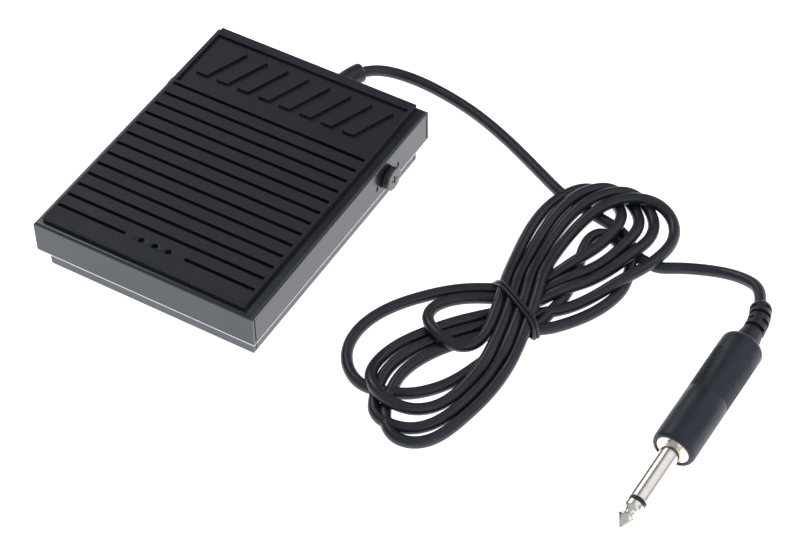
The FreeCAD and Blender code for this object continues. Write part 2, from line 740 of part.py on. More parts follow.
def tangent_edges(spots, closed=False):
    """Straight runs joined by tangent arcs, with the radius at each corner."""
    count = len(spots)
    turns = range(count) if closed else range(1, count - 1)
    edges = []
    radii = []
    joints = {}
    for n in turns:
        here, before, after = spots[n], spots[n - 1], spots[(n + 1) % count]
        back, ahead = before - here, after - here
        share = RUN_SHARE * min(back.Length, ahead.Length)
        half_turn = (math.pi - back.getAngle(ahead)) / 2
        radius = share / math.tan(half_turn)
        start = here + back * (share / back.Length)
        finish = here + ahead * (share / ahead.Length)
        middle_way = (start + finish) * 0.5 - here
        depth = math.hypot(radius, share) - radius
        crown = here + middle_way * (depth / middle_way.Length)
        joints[n] = (start, finish)
        edges.append((n, Part.Arc(start, crown, finish).toShape()))
        radii.append(round(radius, 1))
    ordered = []
    arcs = dict(edges)
    if not closed:
        joints[0] = (spots[0], spots[0])
        joints[count - 1] = (spots[-1], spots[-1])
    for n in range(count if closed else count - 1):
        if n in arcs:
            ordered.append(arcs[n])
        after = (n + 1) % count
        ordered.append(Part.LineSegment(joints[n][1], joints[after][0]).toShape())
    return ordered, radii


def swept(edges, radius):
    """A round tube along a wire, and its length."""
    wire = Part.Wire(edges)
    start = edges[0].valueAt(edges[0].FirstParameter)
    along = edges[0].tangentAt(edges[0].FirstParameter)
    ring = Part.Wire([Part.Circle(start, along, radius).toShape()])
    return wire.makePipeShell([ring], True, False), wire.Length


def make_tube(name, spots, radius):
    """A sub-part for one stretch of cord or core, with its volume compared."""
    spots = [FreeCAD.Vector(*spot) for spot in spots]
    edges, radii = tangent_edges(spots)
    shape, length = swept(edges, radius)
    expected = math.pi * radius ** 2 * length
    print("%s: length %.1f, radii %s, volume ratio %.4f" % (name, length, radii, shape.Volume / expected))
    assert abs(shape.Volume / expected - 1) < 0.01, name + " tube has the wrong volume"
    return shape


def add_shape(name, shape):
    """List a plain shape as a sub-part at the frame's origin."""
    feature = doc.addObject("Part::Feature", name)
    feature.Shape = shape
    feature.Placement = FreeCAD.Placement()
    return keep(feature, name)


def make_lead():
    """The free cord's two stretches outside the hank."""
    radius = size("cable_radius")
    add_shape("cord_lead", make_tube("cord_lead", LEAD_ROUTE, radius))
    add_shape("cord_tail", make_tube("cord_tail", TAIL_ROUTE + (tuple(boot_end()),), radius))


def make_inner_cable():
    """Jacket inside the tray, from the strain relief to where its cores part."""
    cable = doc.addObject("Part::Cylinder", "inner_cable")
    bind(cable, "Radius", "cable_radius")
    bind(cable, "Height", "base_rear - base_sheet - 1.4 - cable_end")
    cable.Placement.Rotation = FreeCAD.Rotation(FreeCAD.Vector(1, 0, 0), -90)
    place(cable, "0", "cable_end", "cable_z")
    keep(cable, "inner_cable")


def make_core_wires():
    """Two insulated cores from the jacket to the terminals."""
    wires = []
    for side in (-1, 1):
        start = FreeCAD.Vector(side * size("core_side"), size("cable_end"), size("cable_z"))
        end = FreeCAD.Vector(size("switch_x") + side * size("blade_x"),
                             size("switch_side / 2 - switch_y + blade_long"), size("blade_z"))
        spots = []
        for across, along in CORE_STEPS:
            spots.append((start.x + (end.x - start.x) * across, start.y + (end.y - start.y) * along,
                          start.z + (end.z - start.z) * across))
        wires.append(make_tube("core_wire", spots, size("core_radius")))
    add_shape("core_wires", Part.makeCompound(wires))


def relief_end():
    """Centre of the strain relief's outer end."""
    turn = math.radians(size("relief_turn"))
    bend = size("relief_bend")
    return FreeCAD.Vector(bend * (1 - math.cos(turn)),
                          size("relief_straight") + bend * math.sin(turn), size("cable_z"))


def make_strain_relief():
    """Rubber relief: collar inside the wall, neck in its hole, bent sleeve outside."""
    wall = size("base_rear")
    inside = wall - size("base_sheet")
    height = size("cable_z")
    back = FreeCAD.Vector(0, 1, 0)
    collar = Part.makeCylinder(size("relief_collar"), 1.4, FreeCAD.Vector(0, inside - 1.4, height), back)
    neck = Part.makeCylinder(size("relief_neck"), wall - inside, FreeCAD.Vector(0, inside, height), back)
    turn = math.radians(size("relief_turn"))
    bend = size("relief_bend")
    start = FreeCAD.Vector(0, size("relief_straight"), height)
    middle = start + FreeCAD.Vector(bend * (1 - math.cos(turn / 2)), bend * math.sin(turn / 2), 0)
    edges = [Part.LineSegment(FreeCAD.Vector(0, wall, height), start).toShape(),
             Part.Arc(start, middle, relief_end()).toShape()]
    sleeve, _ = swept(edges, size("relief_radius"))
    add_shape("strain_relief", collar.fuse([neck, sleeve]).removeSplitter())


def make_cord_coil():
    """The hank's outer shape as one closed solid."""
    spots = [FreeCAD.Vector(x, y, 0) for x, y in HANK_OUTLINE]
    edges, _ = tangent_edges(spots, closed=True)
    face = Part.Face(Part.Wire(edges))
    add_shape("cord_coil", face.extrude(FreeCAD.Vector(0, 0, size("hank_height"))))


def make_cord_tie():
    """Flat band round the waist of the hank."""
    outer = doc.addObject("Part::Box", "tie_outer")
    bind(outer, "Length", "tie_long")
    bind(outer, "Width", "tie_wide")
    bind(outer, "Height", "hank_height + tie_thick")
    inner = doc.addObject("Part::Box", "tie_inner")
    bind(inner, "Length", "tie_long - 2 * tie_thick")
    bind(inner, "Width", "tie_wide + 2")
    bind(inner, "Height", "hank_height - tie_thick")
    place(outer, "-tie_long / 2", "-tie_wide / 2", "0")
    place(inner, "tie_thick - tie_long / 2", "-tie_wide / 2 - 1", "tie_thick")
    band = doc.addObject("Part::Cut", "cord_tie")
    band.Base = outer
    band.Tool = inner
    band.Placement.Rotation = FreeCAD.Rotation(FreeCAD.Vector(0, 0, 1), size("tie_turn"))
    place(band, "tie_x", "tie_y", "0")
    keep(band, "cord_tie")


def plug_way():
    """Direction of the plug's axis, from its tip towards its cord."""
    yaw, rise = math.radians(size("plug_yaw")), math.radians(size("plug_rise"))
    return FreeCAD.Vector(math.sin(yaw) * math.cos(rise), math.cos(yaw) * math.cos(rise), math.sin(rise))


def plug_placement():
    """The plug stands with its shoulder at its own origin and its axis along local Z."""
    shoulder = FreeCAD.Vector(size("plug_x"), size("plug_y"), size("plug_z"))
    turn = FreeCAD.Rotation(FreeCAD.Vector(1, 0, 0), -90 + size("plug_rise"))
    turn = FreeCAD.Rotation(FreeCAD.Vector(0, 0, 1), -size("plug_yaw")).multiply(turn)
    return FreeCAD.Placement(shoulder, turn)


def make_plug_piece(name, corners):
    """One turned piece of the plug."""
    body = new_body(name)
    revolve(body, corners)
    body.Placement = plug_placement()
    place(body, "plug_x", "plug_y", "plug_z")
    return body


def make_plug_contacts():
    """Tip with its rod, insulator with its tube, sleeve and flange, one inside another."""
    ring_low = "insulator_at - plug_length"
    ring_high = ring_low + " + insulator_wide"
    make_plug_piece("plug_tip", (
        ("0", "-plug_length"), ("plug_radius / 8", "-plug_length"),
        ("plug_radius * 0.96", "3.3 - plug_length"), ("plug_radius * 0.93", "3.9 - plug_length"),
        ("plug_neck", "5.4 - plug_length"), ("plug_neck", "5.9 - plug_length"),
        ("plug_radius - 0.2", "7.2 - plug_length"),
        ("plug_radius - 0.2", ring_low), ("rod_radius", ring_low), ("rod_radius", "collar_long"),
        ("0", "collar_long")))
    make_plug_piece("plug_insulator", (
        ("rod_radius + nest_room", ring_low), ("plug_radius - 0.4", ring_low),
        ("plug_radius - 0.4", ring_high), ("tube_radius", ring_high), ("tube_radius", "collar_long"),
        ("rod_radius + nest_room", "collar_long")))
    make_plug_piece("plug_sleeve", (
        ("tube_radius + nest_room", ring_high), ("plug_radius", ring_high), ("plug_radius", "0"),
        ("socket_radius", "0"), ("socket_radius", "collar_long"), ("tube_radius + nest_room", "collar_long")))
    make_plug_piece("plug_collar", (
        ("socket_radius + nest_room", "0"), ("collar_radius - 0.5", "0"), ("collar_radius", "0.5"),
        ("collar_radius", "collar_long"), ("socket_radius + nest_room", "collar_long")))


def make_plug_handle():
    """Moulded grip round the flange, with its front lip just ahead of it."""
    bore, face = "collar_radius + nest_room", "-handle_lip"
    body = make_plug_piece("plug_handle", (
        ("0", "collar_long"), (bore, "collar_long"), (bore, face), ("handle_radius - 1", face),
        ("handle_radius - 0.4", "0.4 - handle_lip"), ("handle_radius - 0.1", "1.1 - handle_lip"),
        ("handle_radius", "2 - handle_lip"), ("handle_radius", "handle_end"), ("0", "handle_end")))
    base = body.Tip
    names = [n for n, edge in enumerate(base.Shape.Edges, 1) if is_rear_rim(edge)]
    feature = body.newObject("PartDesign::Fillet", "plug_handle_round")
    feature.Base = (base, ["Edge%d" % n for n in names])
    bind(feature, "Radius", "handle_round")


def is_rear_rim(edge):
    """True for the outer rim of the handle's rear, in the handle's own frame."""
    return isinstance(edge.Curve, Part.Circle) and abs(edge.Curve.Center.z - size("handle_end")) < 1e-4


def boot_frame():
    """The boot's root, its way out, and the side it bends to, in the row frame."""
    way = plug_way()
    root = FreeCAD.Vector(size("plug_x"), size("plug_y"), size("plug_z")) + way * size("handle_end")
    yaw = math.radians(size("plug_yaw"))
    down_left = FreeCAD.Vector(-math.cos(yaw), math.sin(yaw), -0.5)
    side = (down_left - way * down_left.dot(way)).normalize()
    return root, way, side


def boot_point(angle):
    """A point on the boot's bent centre line, at an angle from where its bend starts."""
    root, way, side = boot_frame()
    bend = size("boot_bend")
    start = root + way * size("boot_straight")
    return start + side * (bend * (1 - math.cos(angle))) + way * (bend * math.sin(angle))


def boot_end():
    """Centre of the boot's outer end, where the lead enters."""
    return boot_point(math.radians(size("boot_turn")))


def make_plug_boot():
    """Flexible boot behind the handle, bent towards the lead."""
    root, way, _ = boot_frame()
    turn = math.radians(size("boot_turn"))
    start = boot_point(0)
    edges = [Part.LineSegment(root, start).toShape(),
             Part.Arc(start, boot_point(turn / 2), boot_end()).toShape()]
    sleeve, _ = swept(edges, size("boot_radius"))
    cone = Part.makeCone(size("boot_wide"), size("boot_radius"), size("boot_straight"), root, way)
    add_shape("plug_boot", cone.fuse([sleeve]).removeSplitter())


def make_all():
    make_pedal_cover()
    make_tread_pad()
    for name, side in SIDES.items():
        make_pivot_bush(name, side)
        make_pivot_spacer(name, side)
        make_pivot_screw(name, side)
        make_pivot_nut(name, side)
    make_spring_stud()
    make_switch_striker()
    make_base_tray()
    make_rubber_sole()
    make_spring_cup()
    make_return_spring()
    make_stops()
    make_switch_bracket()
    make_bracket_rivets()
    make_switch_body()
    make_switch_plunger()
    make_switch_terminals()
    make_cable_clip()
    make_clip_screw()
    make_inner_cable()
    make_core_wires()
    make_strain_relief()
    make_lead()
    make_cord_coil()
    make_cord_tie()
    make_plug_contacts()
    make_plug_handle()
    make_plug_boot()


def export_all():
    """Check every object, then write one file for each sub-part."""
    doc.recompute()
    for thing in doc.Objects:
        broken = {"Invalid", "Error"} & set(thing.State)
        assert not broken, "%s is %s" % (thing.Name, thing.State)
    for part in parts:
        assert not part.Shape.isNull(), part.Label + " is empty"
        assert part.Shape.isValid(), part.Label + " is not valid"
    os.makedirs("parts", exist_ok=True)
    for part in parts:
        part.Shape.exportStep("parts/%s.step" % part.Label)
        box = part.Shape.optimalBoundingBox(False)
        print("%-18s solids %d volume %9.1f  x %.2f..%.2f y %.2f..%.2f z %.2f..%.2f" % (
            part.Label, len(part.Shape.Solids), part.Shape.Volume,
            box.XMin, box.XMax, box.YMin, box.YMax, box.ZMin, box.ZMax))


make_all()
export_all()
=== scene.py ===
import json
import math
from collections import namedtuple

import bmesh
import bpy
import numpy as np
from mathutils import Matrix, Vector


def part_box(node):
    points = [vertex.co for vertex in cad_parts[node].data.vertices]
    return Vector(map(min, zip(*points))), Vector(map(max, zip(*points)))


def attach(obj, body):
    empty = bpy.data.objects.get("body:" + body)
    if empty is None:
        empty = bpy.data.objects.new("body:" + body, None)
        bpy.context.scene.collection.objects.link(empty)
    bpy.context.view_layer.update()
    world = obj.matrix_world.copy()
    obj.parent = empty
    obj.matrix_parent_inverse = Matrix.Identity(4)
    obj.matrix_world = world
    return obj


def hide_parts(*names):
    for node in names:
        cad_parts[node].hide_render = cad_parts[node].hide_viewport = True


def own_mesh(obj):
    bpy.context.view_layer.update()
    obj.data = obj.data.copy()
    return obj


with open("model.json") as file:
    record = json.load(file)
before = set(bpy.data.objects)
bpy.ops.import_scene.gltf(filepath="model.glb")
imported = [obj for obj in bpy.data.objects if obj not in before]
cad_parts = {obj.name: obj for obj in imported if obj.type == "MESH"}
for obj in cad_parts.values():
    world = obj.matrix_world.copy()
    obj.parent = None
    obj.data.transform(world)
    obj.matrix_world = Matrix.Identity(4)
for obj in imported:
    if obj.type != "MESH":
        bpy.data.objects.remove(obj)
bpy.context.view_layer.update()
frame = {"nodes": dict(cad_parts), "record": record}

NODES = frame["nodes"]
MM = 0.001

# ---------------------------------------------------------------- the cord's route, in millimetres

# Lead from the strain relief across the floor, and from the hank up into the plug's boot.
LEAD_ROUTE = (
    (3.2, 71.75, 6.0),
    (7.6, 77.4, 4.2),
    (15.8, 80.7, 2.2),
    (27.0, 80.3, 1.95),
    (42.0, 77.4, 1.95),
    (57.0, 72.0, 1.95),
    (71.5, 65.2, 1.95),
    (85.8, 58.0, 1.95),
)
TAIL_ROUTE = (
    (128.4, 44.0, 1.95),
    (135.0, 48.0, 1.95),
    (142.3, 50.8, 2.3),
    (149.8, 51.5, 3.9),
    (156.8, 49.9, 6.1),
    (162.0, 46.6, 8.0),
)

# Where the lead joins the hank and where it leaves it, seen from above.
INTO_HANK = ((96.0, 54.6), (105.0, 54.0), (112.8, 52.6), (118.4, 47.5), (121.6, 39.5),
             (122.9, 30.0), (121.6, 19.5), (115.6, 9.6))
OUT_OF_HANK = ((107.5, 16.0), (108.0, 24.0), (106.8, 32.0), (103.4, 40.0), (102.3, 47.0), (105.0, 51.5),
               (110.5, 51.0), (116.0, 46.5), (122.0, 43.0))

CORD_RADIUS = 1.9
WAIST = np.array((98.0, 6.0))
STEEP_SIDE = np.array((math.cos(math.radians(15)), math.sin(math.radians(15))))
FLAT_SIDE = np.array((math.cos(math.radians(122)), math.sin(math.radians(122))))
FIRST_SHIFT = -8.8
TOP_LEVEL = 6.0
LOW_LEVEL = 1.0

# The hank's half turns in order, a lower lobe and then an upper one: the lobe's tip, its width, how far
# its middle leans aside, its place in the pile, and how far the strand that follows it is shifted where
# it crosses the waist.
Lobe = namedtuple("Lobe", "tip width lean layer shift")
LOBES = (
    Lobe((94.0, -57.0), 33.5, 4.5, 1, 5.5),
    Lobe((119.5, 67.8), 38.0, 0.5, 4, -4.4),
    Lobe((87.0, -53.2), 36.0, 2.0, 2, 2.5),
    Lobe((111.5, 68.0), 36.0, 0.0, 3, 0.0),
    Lobe((80.5, -47.5), 37.0, -0.5, 3, -0.5),
    Lobe((105.0, 67.3), 36.0, -1.0, 2, 4.4),
    Lobe((84.0, -18.0), 32.0, 2.0, 5, -3.5),
    Lobe((98.5, 66.5), 34.0, -1.0, 1, 8.8),
    Lobe((67.5, -42.0), 43.0, 0.5, 0, 9.0),
)
LOBE_POINTS = 60
WAIST_SHARE = 0.14
CLIMB_SHARE = 0.16
LAYER_LIFT = 0.02
ORDER_LIFT = 0.003
SPACING = 2.4

# How the strands settle: how far each step moves them, and how they push one another apart.
SETTLE_STEPS = 300
STIFF_PASSES = 4
CONTACT_PASSES = 4
LAST_SMOOTHING = 5
SINK = 0.1
STIFFNESS = 0.5
SIDE_STIFFNESS = 0.3
HOMING = 0.08
START_GAP = 1.05
NEAR_ENOUGH = 5
SAME_STRAND = 5
PUSH_SHARE = 1.5
FLOOR_GAP = 0.05
ENTRY_GAP = 5.0


def lobe_outline(start, end, lobe, side):
    """Points seen from above, from one side of the waist round the lobe's tip to the other side."""
    tip = np.array(lobe.tip)
    axis = tip - (start + end) / 2
    across = np.array((-axis[1], axis[0])) / np.hypot(*axis) * side
    points = []
    for n in range(LOBE_POINTS):
        turn = 2 * math.pi * (n + 0.5) / LOBE_POINTS
        root = start + (end - start) * (turn - math.sin(turn)) / (2 * math.pi)
        reach = (1 - math.cos(turn)) / 2
        aside = lobe.width / 2 * math.sin(turn) * math.sin(turn / 2) + lobe.lean * 4 * reach * (1 - reach)
        points.append(root + (tip - root) * reach + across * aside)
    return points


def lobe_levels(first, last, layer, order):
    """Height in strands along a lobe: that of its ends near the waist, its own layer between."""
    levels = []
    for n in range(LOBE_POINTS):
        share = (n + 0.5) / LOBE_POINTS
        near = first if share < 0.5 else last
        climb = min(max((min(share, 1 - share) - WAIST_SHARE) / CLIMB_SHARE, 0), 1)
        levels.append((1 - climb) * near + climb * layer + LAYER_LIFT * layer + ORDER_LIFT * order)
    return levels


def evenly(points, levels, gap):
    """The route again, with points a fixed gap apart."""
    points = np.array(points)
    along = np.concatenate(([0], np.cumsum(np.hypot(*np.diff(points, axis=0).T))))
    stops = np.linspace(0, along[-1], int(along[-1] / gap) + 1)
    return np.stack([np.interp(stops, along, column) for column in (*points.T, levels)], 1)


def drawn_hank():
    """The hank as it is wound, seen from above, with the height of each point in strands."""
    points = [np.array(spot[:2]) for spot in LEAD_ROUTE[-2:]] + [np.array(spot) for spot in INTO_HANK]
    levels = [0.0] * len(points)
    here = WAIST + FLAT_SIDE * FIRST_SHIFT
    for order, lobe in enumerate(LOBES):
        lower = order % 2 == 0
        there = WAIST + (STEEP_SIDE if lower else FLAT_SIDE) * lobe.shift
        ends = (LOW_LEVEL, TOP_LEVEL) if lower else (TOP_LEVEL, LOW_LEVEL)
        if lobe is LOBES[-1]:
            ends = (LOW_LEVEL, 0.0)
        points += lobe_outline(here, there, lobe, -1 if lower else 1)
        levels += lobe_levels(*ends, lobe.layer, order)
        here = there
    points += [np.array(spot) for spot in OUT_OF_HANK] + [np.array(spot[:2]) for spot in TAIL_ROUTE[:2]]
    levels += [0.0] * (len(OUT_OF_HANK) + 2)
    return evenly(points, levels, SPACING)


def eased(values, share):
    """How far each value but the first and last moves to lie between its neighbours."""
    return share * ((values[:-2] + values[2:]) / 2 - values[1:-1])


def pushed_apart(spots, one, other, thick):
    """The points again, with those pairs moved apart that are closer than a strand's thickness."""
    gap = spots[one] - spots[other]
    apart = np.sqrt((gap ** 2).sum(1)) + 1e-9
    hit = apart < thick
    push = gap[hit] / apart[hit, None] * (thick - apart[hit, None]) / 2
    total = np.zeros(spots.shape)
    touches = np.zeros(len(spots))
    np.add.at(total, one[hit], push)
    np.add.at(total, other[hit], -push)
    np.add.at(touches, one[hit], 1)
    np.add.at(touches, other[hit], 1)
    return spots + total / np.maximum(touches, 1)[:, None] * PUSH_SHARE


def settled(hank):
    """Each strand sinks until it lies on the floor or on the strand below it."""
    thick = 2 * CORD_RADIUS
    low = CORD_RADIUS + FLOOR_GAP
    spots = np.stack([hank[:, 0], hank[:, 1], low + hank[:, 2] * thick * START_GAP], 1)
    home = spots[:, :2].copy()
    order = np.arange(len(spots))
    beside = np.sqrt(((home[:, None] - home[None]) ** 2).sum(2)) < thick + NEAR_ENOUGH
    one, other = np.nonzero((order[:, None] - order[None] > SAME_STRAND) & beside)
    for _ in range(SETTLE_STEPS):
        for _ in range(STIFF_PASSES):
            spots[1:-1, 2] += eased(spots[:, 2], STIFFNESS)
        spots[1:-1, :2] += eased(spots[:, :2], SIDE_STIFFNESS)
        spots[:, :2] += HOMING * (home - spots[:, :2])
        spots[:, 2] = np.maximum(spots[:, 2] - SINK, low)
        for _ in range(CONTACT_PASSES):
            spots = pushed_apart(spots, one, other, thick)
            spots[:, 2] = np.maximum(spots[:, 2], low)
    for _ in range(LAST_SMOOTHING):
        spots[1:-1] += eased(spots, STIFFNESS)
    return spots


def wound_hank():
    """The settled hank between the lead's last point and the tail's first."""
    spots = settled(drawn_hank())
    skip_in = math.dist(LEAD_ROUTE[-2], LEAD_ROUTE[-1]) + ENTRY_GAP
    skip_out = math.dist(TAIL_ROUTE[0], TAIL_ROUTE[1]) + ENTRY_GAP
    return spots[round(skip_in / SPACING):len(spots) - round(skip_out / SPACING)]


# ---------------------------------------------------------------- shapes

def linked(piece):
    """Put a new object in the scene."""
    bpy.context.scene.collection.objects.link(piece)
    return piece


def line_through(name, lines, radius, closed=False):
    """Round wires along smooth lines, each given by its control points in metres."""
    curve = bpy.data.curves.new(name, "CURVE")
    curve.dimensions = "3D"
    curve.bevel_depth = radius
    curve.bevel_resolution = 5
    curve.resolution_u = 4
    curve.use_fill_caps = not closed
    for spots in lines:
        spline = curve.splines.new("NURBS")
        spline.points.add(len(spots) - 1)
        for point, spot in zip(spline.points, spots):
            point.co = (*spot, 1)
        spline.use_cyclic_u = closed
        spline.use_endpoint_u = not closed
        spline.order_u = 3
    return linked(bpy.data.objects.new(name, curve))


SHARP_ABOVE = math.radians(40)


def smooth_shaded(name, mesh):
    """An object of a mesh built with bmesh, shaded smooth except at its sharp edges."""
    bmesh.ops.recalc_face_normals(mesh, faces=mesh.faces)
    for face in mesh.faces:
        face.smooth = True
    for edge in mesh.edges:
        if len(edge.link_faces) == 2 and edge.calc_face_angle(0) > SHARP_ABOVE:
            edge.smooth = False
    data = bpy.data.meshes.new(name)
    mesh.to_mesh(data)
    mesh.free()
    return linked(bpy.data.objects.new(name, data))


def turned(name, stations, sides):
    """A round body along a line: stations are (centre, way, radius), or radius as a function of the
    angle round the line. Angle 0 is the side nearest straight up."""
    mesh = bmesh.new()
    rings = []
    for centre, way, radius in stations:
        up = (Vector((0, 0, 1)) - way * way.z).normalized()
        across = way.cross(up)
        ring = []
        for n in range(sides):
            angle = 2 * math.pi * n / sides
            reach = radius(angle) if callable(radius) else radius
            ring.append(mesh.verts.new(centre + (up * math.cos(angle) + across * math.sin(angle)) * reach))
        rings.append(ring)
    for ring, after in zip(rings, rings[1:]):
        for n in range(sides):
            mesh.faces.new((ring[n - 1], ring[n], after[n], after[n - 1]))
    mesh.faces.new(rings[0])
    mesh.faces.new(rings[-1])
    return smooth_shaded(name, mesh)


# ---------------------------------------------------------------- the cord and what is on it

def mount(name):
    """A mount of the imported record, by name."""
    return next(one for one in frame["record"]["mounts"] if one["name"] == name)


TIP_TO_SHOULDER = 31.6
RING_AT = 9.3
RING_WIDE = 1.3
RING_RADIUS = 2.78
SLEEVE_RADIUS = 3.175
CORE_RADIUS = 1.2
PLUG_WAY = -Vector(mount("jack_plug")["axis"]).normalized()
SLEEVE_LONG = mount("jack_plug")["dims"]["length_mm"] * MM
SHOULDER = Vector(mount("jack_plug")["pos_m"]) + PLUG_WAY * SLEEVE_LONG / 2

HANDLE_START = -0.4 * MM
HANDLE_END = 45.1 * MM
HANDLE_RADIUS = 6.9 * MM
HANDLE_ROUND = 2.4 * MM
FRONT_ROUND = 0.95 * MM
FLANGE_ROOM = 5.46 * MM
FLANGE_DEEP = 2.2 * MM
BORE_EDGE = 0.2 * MM
BORE_FLARE = 0.15 * MM
PLAIN_BEFORE_GROOVES = 4 * MM
GROOVES = 18
GROOVE_PITCH = 0.91 * MM
GROOVE_FIRST = 20.8 * MM
GROOVE_DEEP = 0.26 * MM
GROOVE_STEPS = 6
STRIP_TURN = math.radians(8)
STRIP_FRONT = math.radians(4)
STRIP_REAR = math.radians(24)
STRIP_FADE = 0.35
ROUND_STEPS = 8

BOOT_WIDE = 4.4 * MM
BOOT_RADIUS = 3.25 * MM
BOOT_RING = 3.45 * MM
BOOT_STRAIGHT = 5.5 * MM
BOOT_BEND = 19.0 * MM
BOOT_TURN = math.radians(33)
BOOT_RINGS = 4
BOOT_SLOT = 1.05 * MM
BOOT_SLOT_DEEP = 1.1 * MM
BOOT_ROUND = 1.0 * MM
BOOT_RIB = 0.92
BOOT_DROP = 0.5
BOOT_LONG = BOOT_STRAIGHT + BOOT_BEND * BOOT_TURN
RING_PITCH = (BOOT_LONG - BOOT_STRAIGHT) / BOOT_RINGS
HAIR = 0.02 * MM


def rounded(radius, left):
    """How far a rounded corner draws a surface in, at a distance from the corner's end."""
    return radius - math.sqrt(max(radius ** 2 - (radius - left) ** 2, 0))


def handle_radius(along):
    """Outer radius of the handle, with a small round at its front and a larger one at its rear."""
    front, rear = along - HANDLE_START, HANDLE_END - along
    if front < 2 * FRONT_ROUND:
        share = 1 - front / (2 * FRONT_ROUND)
        return HANDLE_RADIUS - FRONT_ROUND * (1 - math.sqrt(max(1 - share ** 2, 0)))
    if rear < HANDLE_ROUND:
        return HANDLE_RADIUS - rounded(HANDLE_ROUND, rear)
    return HANDLE_RADIUS


def grip_share(angle, far):
    """Share of a groove's depth: none along a strip, on top and below, that widens to the rear."""
    aside = abs(math.sin(angle - STRIP_TURN))
    strip = math.sin(STRIP_FRONT + (STRIP_REAR - STRIP_FRONT) * far)
    return min(max((aside - strip) / STRIP_FADE, 0), 1)


def make_handle():
    """Moulded handle round the flange, with fine grip grooves in two patches."""
    bore = ((FLANGE_DEEP, FLANGE_ROOM), (HANDLE_START + BORE_EDGE, FLANGE_ROOM),
            (HANDLE_START, FLANGE_ROOM + BORE_FLARE))
    stations = [(SHOULDER + PLUG_WAY * along, PLUG_WAY, radius) for along, radius in bore]
    bends = [1 - math.cos(math.pi / 2 * n / ROUND_STEPS) for n in range(ROUND_STEPS + 1)]
    front = [HANDLE_START + 2 * FRONT_ROUND * bend for bend in bends]
    rear = [HANDLE_END - HANDLE_ROUND * bend for bend in bends]
    steps = GROOVES * GROOVE_STEPS
    fine = [GROOVE_FIRST + GROOVES * GROOVE_PITCH * n / steps for n in range(steps + 1)]
    for along in front + [GROOVE_FIRST - PLAIN_BEFORE_GROOVES] + fine + rear[::-1]:
        phase = (along - GROOVE_FIRST) / GROOVE_PITCH
        far = phase / GROOVES
        cut = GROOVE_DEEP * math.sin(math.pi * (phase % 1)) ** 2 if 0 <= far <= 1 else 0
        reach = handle_radius(along)
        stations.append((SHOULDER + PLUG_WAY * along, PLUG_WAY,
                         lambda angle, reach=reach, cut=cut, far=far: reach - cut * grip_share(angle, far)))
    return turned("plug_handle_grip", stations, sides=144)


def make_turned(name, profile, sides=96):
    """A turned piece of the plug from (radius, distance from the shoulder) pairs in millimetres."""
    stations = [(SHOULDER + PLUG_WAY * along * MM, PLUG_WAY, radius * MM) for radius, along in profile]
    return turned(name, stations, sides)


def make_contacts():
    """Plug tip, insulating ring, sleeve and flange, turned with fine rounded rims."""
    point = -TIP_TO_SHOULDER
    ring = point + RING_AT
    tip = make_turned("plug_tip_turned", (
        (0.3, point), (0.65, point + 0.15), (2.8, point + 3.0), (3.06, point + 3.4), (3.08, point + 3.7),
        (2.85, point + 4.1), (2.2, point + 4.7), (1.85, point + 5.3), (1.82, point + 5.8),
        (2.1, point + 6.35), (2.7, point + 6.9), (2.95, point + 7.2), (3.0, point + 7.5),
        (3.0, ring - 0.15), (2.85, ring), (CORE_RADIUS, ring)))
    front = ring + RING_WIDE
    band = make_turned("plug_ring_turned", (
        (CORE_RADIUS, ring), (RING_RADIUS - 0.06, ring), (RING_RADIUS, ring + 0.06), (RING_RADIUS, front)))
    sleeve = make_turned("plug_sleeve_turned", (
        (RING_RADIUS, front), (SLEEVE_RADIUS - 0.115, front), (SLEEVE_RADIUS, front + 0.12),
        (SLEEVE_RADIUS, -12.0), (SLEEVE_RADIUS, -4.0), (SLEEVE_RADIUS, 1.2)))
    collar = make_turned("plug_flange_turned", (
        (SLEEVE_RADIUS, 0.25), (3.4, 0.2), (4.75, 0.2), (4.95, 0.0), (5.25, 0.0), (5.38, 0.14),
        (5.38, 2.1)))
    return tip, band, sleeve, collar


def boot_line(along):
    """Centre and direction of the boot, at a distance from where it leaves the handle."""
    root = SHOULDER + PLUG_WAY * HANDLE_END
    level = Vector((-PLUG_WAY.y, PLUG_WAY.x, 0)).normalized()
    side = level + Vector((0, 0, -BOOT_DROP))
    side = (side - PLUG_WAY * side.dot(PLUG_WAY)).normalized()
    if along <= BOOT_STRAIGHT:
        return root + PLUG_WAY * along, PLUG_WAY.copy()
    angle = (along - BOOT_STRAIGHT) / BOOT_BEND
    bent = side * (1 - math.cos(angle)) + PLUG_WAY * math.sin(angle)
    way = side * math.sin(angle) + PLUG_WAY * math.cos(angle)
    return root + PLUG_WAY * BOOT_STRAIGHT + bent * BOOT_BEND, way


def boot_radius(along, angle):
    """Outer radius of the boot: a cone, then rings parted by slots that leave a rib on two sides."""
    if along < BOOT_STRAIGHT:
        return BOOT_WIDE + (BOOT_RADIUS - BOOT_WIDE) * along / BOOT_STRAIGHT
    number, phase = divmod(along - BOOT_STRAIGHT, RING_PITCH)
    left = BOOT_LONG - along
    outer = BOOT_RING
    if left < BOOT_ROUND:
        outer -= rounded(BOOT_ROUND, left)
    slot = 1 if phase < BOOT_SLOT and left > BOOT_ROUND else 0
    rib = 1 if abs(math.sin(angle + number % 2 * math.pi / 2)) > BOOT_RIB else 0
    return outer - BOOT_SLOT_DEEP * slot * (1 - rib)


